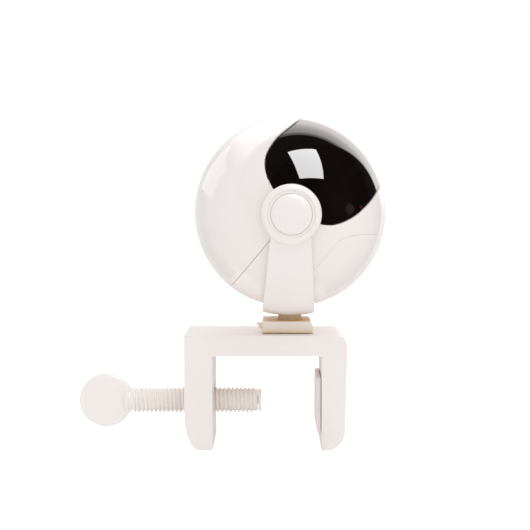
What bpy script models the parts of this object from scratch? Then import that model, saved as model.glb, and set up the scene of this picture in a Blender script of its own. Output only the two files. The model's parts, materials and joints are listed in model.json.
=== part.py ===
"""Baby monitor camera: a ball-shaped camera head that tilts in a yoke, on a screw clamp for a cot rail.

Metres, +Z up. The origin is the middle of the clamp bar's underside, the face that sits on the rail.
X runs across the jaw, from the thumb screw towards the fixed jaw, and Y runs along the rail.
The head's parts are made in the head's own frame, where X is the optical axis and Z is the head's up.
"""
from math import cos, pi, radians, sin, sqrt

import bmesh
import bpy
from mathutils import Matrix, Vector

MM = 0.001
GAP = 0.3 * MM                      # air kept between pieces that touch
FINE, MEDIUM, COARSE = 32, 20, 12   # sides of large, middling and small round pieces

# Clamp: a C-shaped frame that drops over the rail
JAW_GAP = 50.8 * MM
CLAMP_DEPTH = 40.0 * MM
BAR_THICKNESS = 9.7 * MM
LEG_LENGTH = 43.9 * MM
SCREW_LEG = 13.0 * MM               # thickness of the leg that the thumb screw runs through
FIXED_LEG = 11.8 * MM
SCREW_LEG_ROUND = (7.0 * MM, 17.0 * MM)     # width and height of the round on a leg's outer lower corner
FIXED_LEG_ROUND = (9.0 * MM, 9.0 * MM)
FIXED_LEG_DRAFT = 0.9 * MM          # how far its outer face leans in by there
SHOULDER_ROUND = 5.0 * MM
PAD_SIZE = (2.3 * MM, 30.0 * MM, 26.2 * MM)
PAD_TOP = 10.7 * MM                 # how far below the bar the rubber pad starts
PAD_TAPER = (1.2 * MM, 1.8 * MM)

# Thumb screw
SCREW_DROP = 23.6 * MM              # axis below the bar's underside
THREAD_PITCH = 2.0 * MM
THREAD_CREST = 6.1 * MM
THREAD_ROOT = 5.1 * MM
THREAD_CLEARANCE = 0.35 * MM
THREAD_SIDES = 16
ROD_START, ROD_END = -68.8 * MM, -4.6 * MM
COLLAR_LENGTH = 2.6 * MM
COLLAR_RADIUS = 5.9 * MM
DISC_CENTRE = -77.2 * MM
DISC_RADIUS = 12.7 * MM
DISC_THICKNESS = 7.0 * MM
FOOT_TIP = -2.9 * MM
FOOT_RADIUS = 5.4 * MM
FOOT_PIN = (2.0 * MM, 4.0 * MM)     # radius and length of the pin that holds the foot in the rod

# Swivel
PAN_X = 10.8 * MM                   # the pan axis, and the head's centre above it
BASE_X = 9.6 * MM
BASE_SIZE = (23.8 * MM, 25.0 * MM, 5.5 * MM)
BASE_BORE = 8.0 * MM
NECK_RADIUS = 5.55 * MM
NECK_FOOT = 12.9 * MM               # height of the neck's lower end
BASE_SCREWS = ((1.0 * MM, -9.2 * MM), (18.2 * MM, 9.2 * MM))

# Head
HEAD_HEIGHT = 66.3 * MM             # its centre above the bar's underside
HEAD_RADIUS = 45.0 * MM
HEAD_TILT = radians(51.0)           # how far the optical axis points up
SHELL = 2.0 * MM
VISOR_RADIUS = 44.2 * MM
VISOR_SHELL = 1.8 * MM
COVER_EDGE = 24.0 * MM              # the bottom cover's side edge below the head's middle
FLOOR = (-23.6 * MM, -21.6 * MM)    # the plate over the battery bay

# Yoke
YOKE_INNER, YOKE_OUTER = 45.8 * MM, 49.0 * MM
STRAP_TOP_HALF, STRAP_BOTTOM_HALF = 7.84 * MM, 12.6 * MM
STRAP_LEAN = -1.0 * MM              # how far the strap runs off to the screw's side on its way down
HUB_RADIUS, HUB_STEP, HUB_RECESS = 13.2 * MM, 10.3 * MM, 9.25 * MM
HUB_FLOOR, HUB_LEDGE, HUB_FACE = 48.0 * MM, 50.15 * MM, 50.6 * MM
TRUNNION_RADIUS = 5.0 * MM
CAP_RADIUS = 9.0 * MM

# Screws: head radius, head height and shank radius
SMALL_SCREW = (2.8 * MM, 1.2 * MM, 1.2 * MM)
SCREW_HOLE = 1.6 * MM
SHELL_BOSSES = [(-28.0 * MM, side * 14.0 * MM) for side in (-1, 1)]
SHELL_BOSSES += [(-8.0 * MM, side * 29.0 * MM) for side in (-1, 1)]
BOARD_BOSSES = ((-18.0 * MM, -18.0 * MM), (12.0 * MM, 18.0 * MM))
BOSS_RADIUS = 3.0 * MM
BOARD_LEVEL = -12.0 * MM

# Directions from the head's centre, in its own frame
COVER_SCREW_WAY = Vector((-0.6, 0.0, -0.8))
MICROPHONE_WAY = Vector((0.5, 0.0, -sqrt(0.75)))
BUTTON_WAY = Vector((-cos(radians(29.3)), 0.0, sin(radians(29.3))))
STATUS_WAY = Vector((22.0, -30.7, -22.4)).normalized()
INLET_HEIGHT = 9.0 * MM


# ---------------------------------------------------------------- scene, materials and placing

def clear_scene():
    for thing in list(bpy.data.objects):
        bpy.data.objects.remove(thing)


def new_collection(name):
    made = bpy.data.collections.new(name)
    bpy.context.scene.collection.children.link(made)
    return made


def new_material(name, colour, roughness, metallic=0.0, alpha=1.0):
    made = bpy.data.materials.new(name)
    made.use_nodes = True
    shader = made.node_tree.nodes["Principled BSDF"]
    shader.inputs["Base Color"].default_value = (*colour, 1.0)
    shader.inputs["Roughness"].default_value = roughness
    shader.inputs["Metallic"].default_value = metallic
    shader.inputs["Alpha"].default_value = alpha
    return made


clear_scene()
PARTS = new_collection("baby_monitor_camera")
CUTTERS = new_collection("cutters")

SHELL_WHITE = new_material("shell_white", (0.90, 0.89, 0.87), 0.18)
SATIN_WHITE = new_material("satin_white", (0.90, 0.88, 0.86), 0.35)
CLAMP_WHITE = new_material("clamp_white", (0.88, 0.85, 0.81), 0.35)
VISOR_BLACK = new_material("visor_black", (0.006, 0.006, 0.008), 0.04)
PAD_RUBBER = new_material("pad_rubber", (0.55, 0.50, 0.50), 0.80)
STEEL = new_material("steel", (0.60, 0.60, 0.62), 0.30, metallic=1.0)
BOARD_GREEN = new_material("board_green", (0.02, 0.16, 0.06), 0.45)
BLACK_PLASTIC = new_material("black_plastic", (0.02, 0.02, 0.02), 0.50)
LENS_GLASS = new_material("lens_glass", (0.30, 0.35, 0.45), 0.03, alpha=0.4)
LED_CLEAR = new_material("led_clear", (0.75, 0.75, 0.80), 0.10)
LED_RED = new_material("led_red", (0.80, 0.03, 0.02), 0.20)
BATTERY_WRAP = new_material("battery_wrap", (0.10, 0.22, 0.50), 0.40)
COPPER = new_material("copper", (0.80, 0.45, 0.25), 0.30, metallic=1.0)


def new_frame(name, place, tilt=0.0):
    """An empty at a joint, turned up by tilt about the Y axis."""
    made = bpy.data.objects.new(name, None)
    made.location = place
    made.rotation_euler = (0.0, -tilt, 0.0)
    PARTS.objects.link(made)
    return made


PAN = new_frame("pan_axis", (PAN_X, 0.0, 0.0))
HEAD_CENTRE = Vector((PAN_X, 0.0, HEAD_HEIGHT))
HEAD = new_frame("tilt_axis", HEAD_CENTRE, HEAD_TILT)
SCREW = new_frame("screw_axis", (0.0, 0.0, -SCREW_DROP))


def place(name, mesh, parent=None, where=(0.0, 0.0, 0.0), way=None, material=None):
    """An object that carries a mesh. way turns its +Z that way; with no material it is a cutter."""
    made = bpy.data.objects.new(name, mesh)
    made.parent = parent
    made.location = where
    if way is not None:
        made.rotation_euler = Vector(way).to_track_quat("Z", "Y").to_euler()
    if material is None:
        CUTTERS.objects.link(made)
        made.hide_render = True
        made.display_type = "WIRE"
    else:
        PARTS.objects.link(made)
        mesh.materials.append(material)
    return made


# ---------------------------------------------------------------- basic shapes

def finish_mesh(name, bm):
    mesh = bpy.data.meshes.new(name)
    bm.to_mesh(mesh)
    bm.free()
    mesh.shade_smooth()
    mesh.set_sharp_from_angle(angle=radians(35))
    return mesh


def box(name, low, high, parent=None, material=None):
    low, high = Vector(low), Vector(high)
    bm = bmesh.new()
    bmesh.ops.create_cube(bm, size=1.0)
    bmesh.ops.scale(bm, vec=high - low, verts=bm.verts)
    return place(name, finish_mesh(name, bm), parent, (low + high) / 2, None, material)


def cylinder(name, radius, start, end, parent=None, material=None, sides=COARSE):
    """A cylinder whose axis runs from start to end."""
    start, end = Vector(start), Vector(end)
    bm = bmesh.new()
    bmesh.ops.create_cone(bm, cap_ends=True, segments=sides, radius1=radius, radius2=radius,
                          depth=(end - start).length)
    return place(name, finish_mesh(name, bm), parent, (start + end) / 2, end - start, material)


def ball(name, radius, parent=None, material=None):
    """A sphere with its poles on the Y axis, where the trunnions are."""
    bm = bmesh.new()
    bmesh.ops.create_uvsphere(bm, u_segments=FINE, v_segments=FINE // 2, radius=radius)
    bmesh.ops.rotate(bm, matrix=Matrix.Rotation(pi / 2, 3, "X"), verts=bm.verts)
    return place(name, finish_mesh(name, bm), parent, material=material)


def turned(name, profile, where, way, parent=None, material=None, sides=COARSE):
    """A turned shape: profile is (radius, height) points down its outer side, from the axis to the axis."""
    mesh = bpy.data.meshes.new(name)
    edges = [(i, i + 1) for i in range(len(profile) - 1)]
    mesh.from_pydata([(radius, 0.0, height) for radius, height in profile], edges, [])
    made = place(name, mesh, parent, where, way, material)
    screw = made.modifiers.new("turn", "SCREW")
    screw.steps = screw.render_steps = sides
    screw.use_merge_vertices = True
    screw.merge_threshold = 0.00001
    screw.use_smooth_shade = True
    return made


def extruded(name, outline, depth, parent=None, material=None, smooth=False):
    """An outline of (x, z) points, extruded along Y to both sides. smooth runs a curve through them."""
    curve = bpy.data.curves.new(name, "CURVE")
    curve.dimensions = "2D"
    curve.fill_mode = "BOTH"
    curve.extrude = depth / 2
    curve.resolution_u = 4
    spline = curve.splines.new("BEZIER" if smooth else "POLY")
    points = spline.bezier_points if smooth else spline.points
    points.add(len(outline) - 1)
    for point, (x, z) in zip(points, outline):
        point.co = (x, z, 0.0) if smooth else (x, z, 0.0, 1.0)
        if smooth:
            point.handle_left_type = point.handle_right_type = "AUTO"
    spline.use_cyclic_u = True
    shape = bpy.data.objects.new(name + "_outline", curve)
    CUTTERS.objects.link(shape)
    bpy.context.view_layer.update()
    mesh = bpy.data.meshes.new_from_object(shape.evaluated_get(bpy.context.evaluated_depsgraph_get()))
    bpy.data.objects.remove(shape)
    bm = bmesh.new()
    bm.from_mesh(mesh)
    bmesh.ops.remove_doubles(bm, verts=bm.verts, dist=0.00001)
    bmesh.ops.rotate(bm, matrix=Matrix.Rotation(pi / 2, 3, "X"), verts=bm.verts)
    bmesh.ops.recalc_face_normals(bm, faces=bm.faces)
    return place(name, finish_mesh(name, bm), parent, material=material)


def boolean(piece, other, operation):
    step = piece.modifiers.new(other.name, "BOOLEAN")
    step.operation = operation
    step.solver = "EXACT"
    step.object = other
    return piece


def cut(piece, *others):
    for other in others:
        boolean(piece, other, "DIFFERENCE")
    return piece


def join(piece, *others):
    for other in others:
        boolean(piece, other, "UNION")
    return piece


def keep(piece, other):
    return boolean(piece, other, "INTERSECT")


def arc(centre, radii, start, end, steps):
    """Points on an elliptical arc, from angle start to end in degrees."""
    angles = [radians(start + (end - start) * i / steps) for i in range(steps + 1)]
    return [(centre[0] + radii[0] * cos(a), centre[1] + radii[1] * sin(a)) for a in angles]


def fastener(name, where, way, length, parent=None, sizes=SMALL_SCREW):
    """A screw: where is the middle of its head's underside, and its shank runs along way."""
    head, height, shank = sizes
    profile = [(0.0, height), (head, height), (head, 0.0), (shank, 0.0), (shank, -length), (0.0, -length)]
    return turned(name, profile, where, -Vector(way), parent, STEEL, sides=10)


# ---------------------------------------------------------------- clamp

def clamp_frame():
    """The C frame: bar and two legs in one outline, with the tapped hole for the thumb screw."""
    left, right = -JAW_GAP / 2 - SCREW_LEG, JAW_GAP / 2 + FIXED_LEG
    wide, high = SCREW_LEG_ROUND
    outline = [(left, BAR_THICKNESS)]
    outline += arc((left + wide, high - LEG_LENGTH), (wide, high), 180, 270, 8)
    outline += [(-JAW_GAP / 2, -LEG_LENGTH), (-JAW_GAP / 2, 0.0), (JAW_GAP / 2, 0.0), (JAW_GAP / 2, -LEG_LENGTH)]
    wide, high = FIXED_LEG_ROUND
    outline += arc((right - wide - FIXED_LEG_DRAFT, high - LEG_LENGTH), (wide, high), 270, 360, 8)
    outline += arc((right - SHOULDER_ROUND, BAR_THICKNESS - SHOULDER_ROUND), (SHOULDER_ROUND,) * 2, 0, 90, 5)
    frame = extruded("clamp_frame", outline, CLAMP_DEPTH, material=CLAMP_WHITE)
    tap = threaded_rod("tap", THREAD_ROOT + THREAD_CLEARANCE, THREAD_CREST + THREAD_CLEARANCE,
                       left - 2 * MM, 2 * MM - JAW_GAP / 2)
    cut(frame, tap)
    for number, (x, y) in enumerate(BASE_SCREWS, 1):
        hole = cylinder(f"base_hole_{number}", SCREW_HOLE, (x, y, 1 * MM), (x, y, 12 * MM))
        recess = cylinder(f"base_recess_{number}", 3.3 * MM, (x, y, -1 * MM), (x, y, 3 * MM))
        cut(frame, hole, recess)


def clamp_pad():
    """The rubber pad on the fixed jaw, tapered at its lower end."""
    thick, deep, high = PAD_SIZE
    back, front = JAW_GAP / 2 - GAP, JAW_GAP / 2 - thick
    bottom = -PAD_TOP - high
    outline = [(back, -PAD_TOP), (back, bottom), (front + PAD_TAPER[0], bottom), (front, bottom + PAD_TAPER[1]),
               (front, -PAD_TOP - 0.5 * MM), (front + 0.5 * MM, -PAD_TOP)]
    extruded("clamp_pad", outline, deep, material=PAD_RUBBER)


def threaded_rod(name, root, crest, start, end, parent=None, material=None):
    """A right-handed V-threaded rod along X. Its thread's phase is the same whatever its ends are."""
    bm = bmesh.new()
    turns = int((end - start) / THREAD_PITCH) + 3
    first = int(start / THREAD_PITCH) - 2
    count = turns * THREAD_SIDES

    def helix(radius, lead):
        made = []
        for i in range(count + THREAD_SIDES + 1):
            angle = 2 * pi * i / THREAD_SIDES
            along = (first + lead + i / THREAD_SIDES) * THREAD_PITCH
            made.append(bm.verts.new((along, radius * cos(angle), radius * sin(angle))))
        return made

    roots, crests = helix(root, 0.0), helix(crest, 0.5)
    for i in range(count):
        following = i + THREAD_SIDES
        bm.faces.new((roots[i], crests[i], crests[i + 1], roots[i + 1]))
        bm.faces.new((crests[i], roots[following], roots[following + 1], crests[i + 1]))
    for rim in (roots[:THREAD_SIDES + 1] + [crests[0]], roots[count:] + [crests[count]]):
        middle = bm.verts.new((sum(v.co.x for v in rim) / len(rim), 0.0, 0.0))
        for here, there in zip(rim, rim[1:] + rim[:1]):
            bm.faces.new((middle, here, there))
    loose = [v for v in bm.verts if not v.link_faces]
    bmesh.ops.delete(bm, geom=loose, context="VERTS")
    bmesh.ops.recalc_face_normals(bm, faces=bm.faces)
    mesh = bpy.data.meshes.new(name)
    bm.to_mesh(mesh)
    bm.free()
    rod = place(name, mesh, SCREW, material=material)
    trim = cylinder(name + "_trim", 2 * crest, (start, 0, 0), (end, 0, 0), SCREW, sides=THREAD_SIDES)
    return keep(rod, trim)


def thumb_screw():
    """The rod with its thumb disc moulded on, and the foot that the rod presses on the rail."""
    rod = threaded_rod("clamp_screw", THREAD_ROOT, THREAD_CREST, ROD_START + COLLAR_LENGTH, ROD_END,
                       material=CLAMP_WHITE)
    collar = cylinder("collar", COLLAR_RADIUS, (ROD_START, 0, 0), (ROD_START + COLLAR_LENGTH + 1 * MM, 0, 0),
                      SCREW, sides=MEDIUM)
    half, radius, round_ = DISC_THICKNESS / 2, DISC_RADIUS, 1.2 * MM
    profile = [(0, half), (radius - round_, half), (radius - round_ * 0.3, half - round_ * 0.3),
               (radius, half - round_), (radius, round_ - half),
               (radius - round_ * 0.3, round_ * 0.3 - half), (radius - round_, -half), (0, -half)]
    disc = turned("disc", profile, (DISC_CENTRE, 0, 0), (0, -1, 0), SCREW, sides=FINE)
    pin_radius, pin_length = FOOT_PIN
    socket = cylinder("foot_socket", pin_radius + GAP, (ROD_END - pin_length - GAP, 0, 0),
                      (ROD_END + 1 * MM, 0, 0), SCREW)
    cut(join(rod, collar, disc), socket)
    back = ROD_END + GAP
    profile = [(0, FOOT_TIP), (FOOT_RADIUS - 0.3 * MM, FOOT_TIP), (FOOT_RADIUS, FOOT_TIP - 0.3 * MM),
               (FOOT_RADIUS, back), (pin_radius, back), (pin_radius, back - pin_length), (0, back - pin_length)]
    turned("screw_foot", profile, (0, 0, 0), (1, 0, 0), SCREW, CLAMP_WHITE, sides=MEDIUM)


# ---------------------------------------------------------------- swivel and yoke

def swivel_base():
    """The block on the bar that the yoke's neck turns in, with its stop tab, and its two screws."""
    long, deep, high = BASE_SIZE
    low, top = BAR_THICKNESS + GAP, BAR_THICKNESS + GAP + high
    left, right, edge = BASE_X - long / 2, BASE_X + long / 2, 1.2 * MM
    outline = [(left, low), (right, low), (right, top - 2 * edge), (right - edge, top), (left, top)]
    base = extruded("swivel_base", outline, deep, material=CLAMP_WHITE)
    tab = extruded("stop_tab", [(left + 1 * MM, top - 3.6 * MM), (left + 1 * MM, top - 1 * MM),
                                (left - 3 * MM, top - 1 * MM), (left - 0.6 * MM, top - 3.6 * MM)], 5 * MM)
    tab.location.y = -deep / 2 + 4 * MM
    bore = cylinder("neck_bore", NECK_RADIUS + GAP, (PAN_X, 0, low), (PAN_X, 0, top + 1 * MM), sides=MEDIUM)
    recess = cylinder("washer_recess", BASE_BORE, (PAN_X, 0, low - 1 * MM), (PAN_X, 0, NECK_FOOT), sides=MEDIUM)
    cut(join(base, tab), bore, recess)
    for number, (x, y) in enumerate(BASE_SCREWS, 1):
        cut(base, cylinder(f"base_screw_hole_{number}", SCREW_HOLE, (x, y, 0), (x, y, top - 1.2 * MM)))
        fastener(f"base_screw_{number}", (x, y, 2.4 * MM), (0, 0, 1), 11.5 * MM)


def yoke():
    """A strap that follows the ball from hub to hub under it, with the neck that pans in the base."""
    yoke_frame = ball("yoke_frame", YOKE_OUTER, material=SATIN_WHITE)
    yoke_frame.location = HEAD_CENTRE
    left, right, bottom = STRAP_LEAN - STRAP_BOTTOM_HALF, STRAP_LEAN + STRAP_BOTTOM_HALF, -YOKE_OUTER
    outline = [(-STRAP_TOP_HALF, 2 * MM), (STRAP_TOP_HALF, 2 * MM), (right, bottom), (right, bottom - MM),
               (left, bottom - MM), (left, bottom)]
    strap = extruded("strap_outline", outline, 4 * YOKE_OUTER)
    strap.location = HEAD_CENTRE
    keep(yoke_frame, strap)
    for side, label in ((-1, "near"), (1, "far")):
        middle = HEAD_CENTRE + Vector((0, side * 40 * MM, 0))
        face = HEAD_CENTRE + Vector((0, side * HUB_FACE, 0))
        join(yoke_frame, cylinder(f"hub_{label}", HUB_RADIUS, middle, face, sides=FINE))
    neck = cylinder("neck", NECK_RADIUS, (PAN_X, 0, NECK_FOOT), (PAN_X, 0, 18.5 * MM), sides=MEDIUM)
    hollow = ball("yoke_hollow", YOKE_INNER)
    hollow.location = HEAD_CENTRE
    cut(join(yoke_frame, neck), hollow)
    for side, label in ((-1, "near"), (1, "far")):
        out = Vector((0, side, 0))
        step = cylinder(f"hub_step_{label}", HUB_STEP, HEAD_CENTRE + out * HUB_LEDGE,
                        HEAD_CENTRE + out * 60 * MM, sides=FINE)
        recess = cylinder(f"hub_recess_{label}", HUB_RECESS, HEAD_CENTRE + out * HUB_FLOOR,
                          HEAD_CENTRE + out * 60 * MM, sides=FINE)
        bore = cylinder(f"hub_bore_{label}", TRUNNION_RADIUS + GAP, HEAD_CENTRE + out * 40 * MM,
                        HEAD_CENTRE + out * 49 * MM, sides=MEDIUM)
        cut(yoke_frame, step, recess, bore)
    cut(yoke_frame, cylinder("pan_screw_hole", SCREW_HOLE, (PAN_X, 0, 10 * MM), (PAN_X, 0, 19 * MM)))
    ring = [(SCREW_HOLE, 0), (7.4 * MM, 0), (7.4 * MM, -1 * MM), (SCREW_HOLE, -1 * MM), (SCREW_HOLE, 0)]
    turned("pan_washer", ring, (0, 0, 12.6 * MM), (0, 0, 1), PAN, STEEL, MEDIUM)
    fastener("pan_screw", (0, 0, 11.3 * MM), (0, 0, 1), 7.2 * MM, PAN)


def pivots():
    """At each hub: the trunnion that the shells grip, and the washer, screw and cap on its end."""
    for side, label in ((-1, "near"), (1, "far")):
        out = Vector((0, side, 0))
        flange, root = 9.0 * MM, 39.2 * MM
        profile = [(0, 47.9 * MM), (TRUNNION_RADIUS, 47.9 * MM), (TRUNNION_RADIUS, 41 * MM), (flange, 41 * MM),
                   (flange, root), (0, root)]
        trunnion = turned(f"trunnion_{label}", profile, (0, 0, 0), out, HEAD, BLACK_PLASTIC, MEDIUM)
        cut(trunnion, cylinder(f"pivot_screw_hole_{label}", SCREW_HOLE, out * 40 * MM, out * 50 * MM, HEAD))
        ring = [(SCREW_HOLE, 49.1 * MM), (8.6 * MM, 49.1 * MM), (8.6 * MM, 48.3 * MM), (SCREW_HOLE, 48.3 * MM),
                (SCREW_HOLE, 49.1 * MM)]
        turned(f"pivot_washer_{label}", ring, (0, 0, 0), out, HEAD, STEEL, MEDIUM)
        fastener(f"pivot_screw_{label}", out * 49.4 * MM, -out, 8 * MM, HEAD)
        top, rim, skirt = 52.2 * MM, 50.9 * MM, 49.4 * MM
        wall = 1.0 * MM
        dome = [(CAP_RADIUS * sin(a), rim + (top - rim) * cos(a)) for a in (0, pi / 8, pi / 4, 3 * pi / 8, pi / 2)]
        inside = [(r * (1 - wall / CAP_RADIUS), h - wall) for r, h in reversed(dome)]
        inner = inside[0][0]
        profile = dome + [(CAP_RADIUS, skirt), (inner, skirt)] + inside
        turned(f"hub_cap_{label}", profile, (0, 0, 0), out, HEAD, SATIN_WHITE, MEDIUM)


# ---------------------------------------------------------------- head shells

def visor_outline(grow=0.0):
    """The visor seen from the side: a band round the front, rounded off behind the hubs."""
    points = [(50, 21.6), (34, 24.4), (22, 26.4), (13, 25.0), (6.6, 19.3), (2.5, 10.0), (1.5, 0.0), (3.2, -9.0),
              (8.0, -17.5), (16.0, -22.4), (25.0, -24.5), (34.0, -25.0), (50, -25.2)]
    middle = Vector((24, 0))
    made = []
    for point in points:
        away = (Vector(point) - middle).normalized() * grow
        made.append((point[0] * MM + away.x, point[1] * MM + away.y))
    return made


def cover_outline(grow=0.0):
    """The bottom cover seen from the side: straight at the back, sloping down at the front."""
    edge = grow - COVER_EDGE
    points = [(-50, None), (0, None), (4.5, -24.5), (9.0, -27.0), (13.0, -31.3), (18.5, -39.0), (26.0, -50), (-50, -50)]
    return [(x * MM + (grow if z else 0), edge if z is None else z * MM + grow * 0.7) for x, z in points]


def hollow_ball(name, outer, wall, material):
    return cut(ball(name, outer, HEAD, material), ball(name + "_hollow", outer - wall, HEAD))


def bosses(shell, label, places, low, high, limit=None):
    """Screw columns from low to high inside a shell. limit is a ball that trims them to the shell's wall."""
    for number, (x, y) in enumerate(places, 1):
        column = cylinder(f"{label}_boss_{number}", BOSS_RADIUS, (x, y, low), (x, y, high), HEAD)
        if limit:
            keep(column, limit)
        join(shell, column)


def head_shells():
    tall = 3 * HEAD_RADIUS
    visor_cut = extruded("visor_cut", visor_outline(GAP), tall, HEAD)
    cover_cut = extruded("cover_cut", cover_outline(GAP), tall, HEAD)
    upper_half = box("upper_half", (-tall, -tall, GAP / 2), (tall, tall, tall), HEAD)
    lower_half = box("lower_half", (-tall, -tall, -tall), (tall, tall, -GAP / 2), HEAD)
    wall_limit = ball("wall_limit", HEAD_RADIUS - SHELL / 2, HEAD)
    trunnion_hole = cylinder("trunnion_hole", TRUNNION_RADIUS + GAP, (0, -tall, 0), (0, tall, 0), HEAD, sides=MEDIUM)

    upper = hollow_ball("upper_shell", HEAD_RADIUS, SHELL, SHELL_WHITE)
    cut(keep(upper, upper_half), visor_cut)
    bosses(upper, "upper", SHELL_BOSSES, GAP / 2, HEAD_RADIUS, wall_limit)
    inlet_hole = cylinder("inlet_hole", 4.8 * MM, (-60 * MM, 0, INLET_HEIGHT), (-30 * MM, 0, INLET_HEIGHT), HEAD,
                          sides=MEDIUM)
    button_hole = cylinder("button_hole", 3.8 * MM, BUTTON_WAY * 36 * MM, BUTTON_WAY * 50 * MM, HEAD, sides=MEDIUM)
    cut(upper, trunnion_hole, inlet_hole, button_hole)

    lower = hollow_ball("lower_shell", HEAD_RADIUS, SHELL, SHELL_WHITE)
    cut(keep(lower, lower_half), visor_cut, cover_cut)
    floor = box("bay_floor", (-44 * MM, -tall, FLOOR[0]), (12 * MM, tall, FLOOR[1]), HEAD)
    join(lower, keep(floor, wall_limit))
    bosses(lower, "lower", SHELL_BOSSES, FLOOR[0] + 0.5 * MM, -GAP / 2)
    bosses(lower, "board", BOARD_BOSSES, FLOOR[0] + 0.5 * MM, BOARD_LEVEL - GAP)
    stem = cylinder("cover_stem", BOSS_RADIUS, COVER_SCREW_WAY * 28 * MM, COVER_SCREW_WAY * 40.5 * MM, HEAD)
    join(lower, stem)
    sound_hole = cylinder("sound_hole", 0.8 * MM, MICROPHONE_WAY * 41 * MM, MICROPHONE_WAY * 50 * MM, HEAD)
    stem_hole = cylinder("stem_hole", SCREW_HOLE, COVER_SCREW_WAY * 31 * MM, COVER_SCREW_WAY * 50 * MM, HEAD)
    cut(lower, trunnion_hole, sound_hole, stem_hole)

    for number, (x, y) in enumerate(SHELL_BOSSES, 1):
        hole = cylinder(f"shell_hole_{number}", SCREW_HOLE, (x, y, -30 * MM), (x, y, 10 * MM), HEAD)
        cut(upper, hole)
        cut(lower, hole)
        fastener(f"shell_screw_{number}", (x, y, FLOOR[0] - GAP), (0, 0, 1), 32 * MM, HEAD)
    for number, (x, y) in enumerate(BOARD_BOSSES, 1):
        cut(lower, cylinder(f"board_hole_{number}", SCREW_HOLE, (x, y, -20 * MM), (x, y, 0), HEAD))

    visor = hollow_ball("visor", VISOR_RADIUS, VISOR_SHELL, VISOR_BLACK)
    keep(visor, extruded("visor_band", visor_outline(), tall, HEAD))
    cut(visor, trunnion_hole)

    cover = hollow_ball("bottom_cover", HEAD_RADIUS, SHELL, SHELL_WHITE)
    keep(cover, extruded("cover_band", cover_outline(), tall, HEAD))
    seat = cylinder("cover_seat", 4.5 * MM, COVER_SCREW_WAY * 40.8 * MM, COVER_SCREW_WAY * 44 * MM, HEAD)
    through = cylinder("cover_hole", SCREW_HOLE, COVER_SCREW_WAY * 36 * MM, COVER_SCREW_WAY * 50 * MM, HEAD)
    recess = cylinder("cover_recess", 3.1 * MM, COVER_SCREW_WAY * 42.6 * MM, COVER_SCREW_WAY * 50 * MM, HEAD)
    cut(join(cover, seat), through, recess)
    fastener("cover_screw", COVER_SCREW_WAY * 42.9 * MM, -COVER_SCREW_WAY, 10 * MM, HEAD)


# ---------------------------------------------------------------- inside the head

def camera_module():
    """The bracket behind the visor with the camera board, the lens and the ring of infrared LEDs."""
    bracket = box("camera_bracket", (20 * MM, -26 * MM, -19 * MM), (22 * MM, 26 * MM, 19 * MM), HEAD, BLACK_PLASTIC)
    window = box("bracket_window", (19 * MM, -7 * MM, -7 * MM), (23 * MM, 7 * MM, 7 * MM), HEAD)
    cut(bracket, window)
    box("camera_board", (22.3 * MM, -12 * MM, -12 * MM), (23.9 * MM, 12 * MM, 12 * MM), HEAD, BOARD_GREEN)
    holder = box("lens_holder", (24.2 * MM, -8 * MM, -8 * MM), (31 * MM, 8 * MM, 8 * MM), HEAD, BLACK_PLASTIC)
    cut(holder, cylinder("lens_bore", 6.3 * MM, (26 * MM, 0, 0), (33 * MM, 0, 0), HEAD, sides=MEDIUM))
    barrel = cylinder("lens_barrel", 6 * MM, (26.4 * MM, 0, 0), (38.5 * MM, 0, 0), HEAD, BLACK_PLASTIC, MEDIUM)
    cut(barrel, cylinder("lens_seat", 5 * MM, (35 * MM, 0, 0), (40 * MM, 0, 0), HEAD, sides=MEDIUM))
    lens = [(0, 38.6 * MM), (2.5 * MM, 38.3 * MM), (4.7 * MM, 37.3 * MM), (4.7 * MM, 35.3 * MM), (0, 35.3 * MM)]
    turned("lens_glass", lens, (0, 0, 0), (1, 0, 0), HEAD, LENS_GLASS, MEDIUM)
    ring = [(9 * MM, 33.4 * MM), (19 * MM, 33.4 * MM), (19 * MM, 32 * MM), (9 * MM, 32 * MM), (9 * MM, 33.4 * MM)]
    turned("ir_board", ring, (0, 0, 0), (1, 0, 0), HEAD, BOARD_GREEN, MEDIUM)
    led = [(0, 38.2 * MM), (1.7 * MM, 37.6 * MM), (2.5 * MM, 36.2 * MM), (2.5 * MM, 33.7 * MM), (0, 33.7 * MM)]
    for number in range(6):
        angle = radians(30 + 60 * number)
        where = (0, 14 * MM * cos(angle), 14 * MM * sin(angle))
        turned(f"ir_led_{number + 1}", led, where, (1, 0, 0), HEAD, LED_CLEAR, sides=10)
    box("light_sensor", (33.7 * MM, 12.5 * MM, -1.5 * MM), (35 * MM, 15.5 * MM, 1.5 * MM), HEAD, LED_CLEAR)


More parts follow.
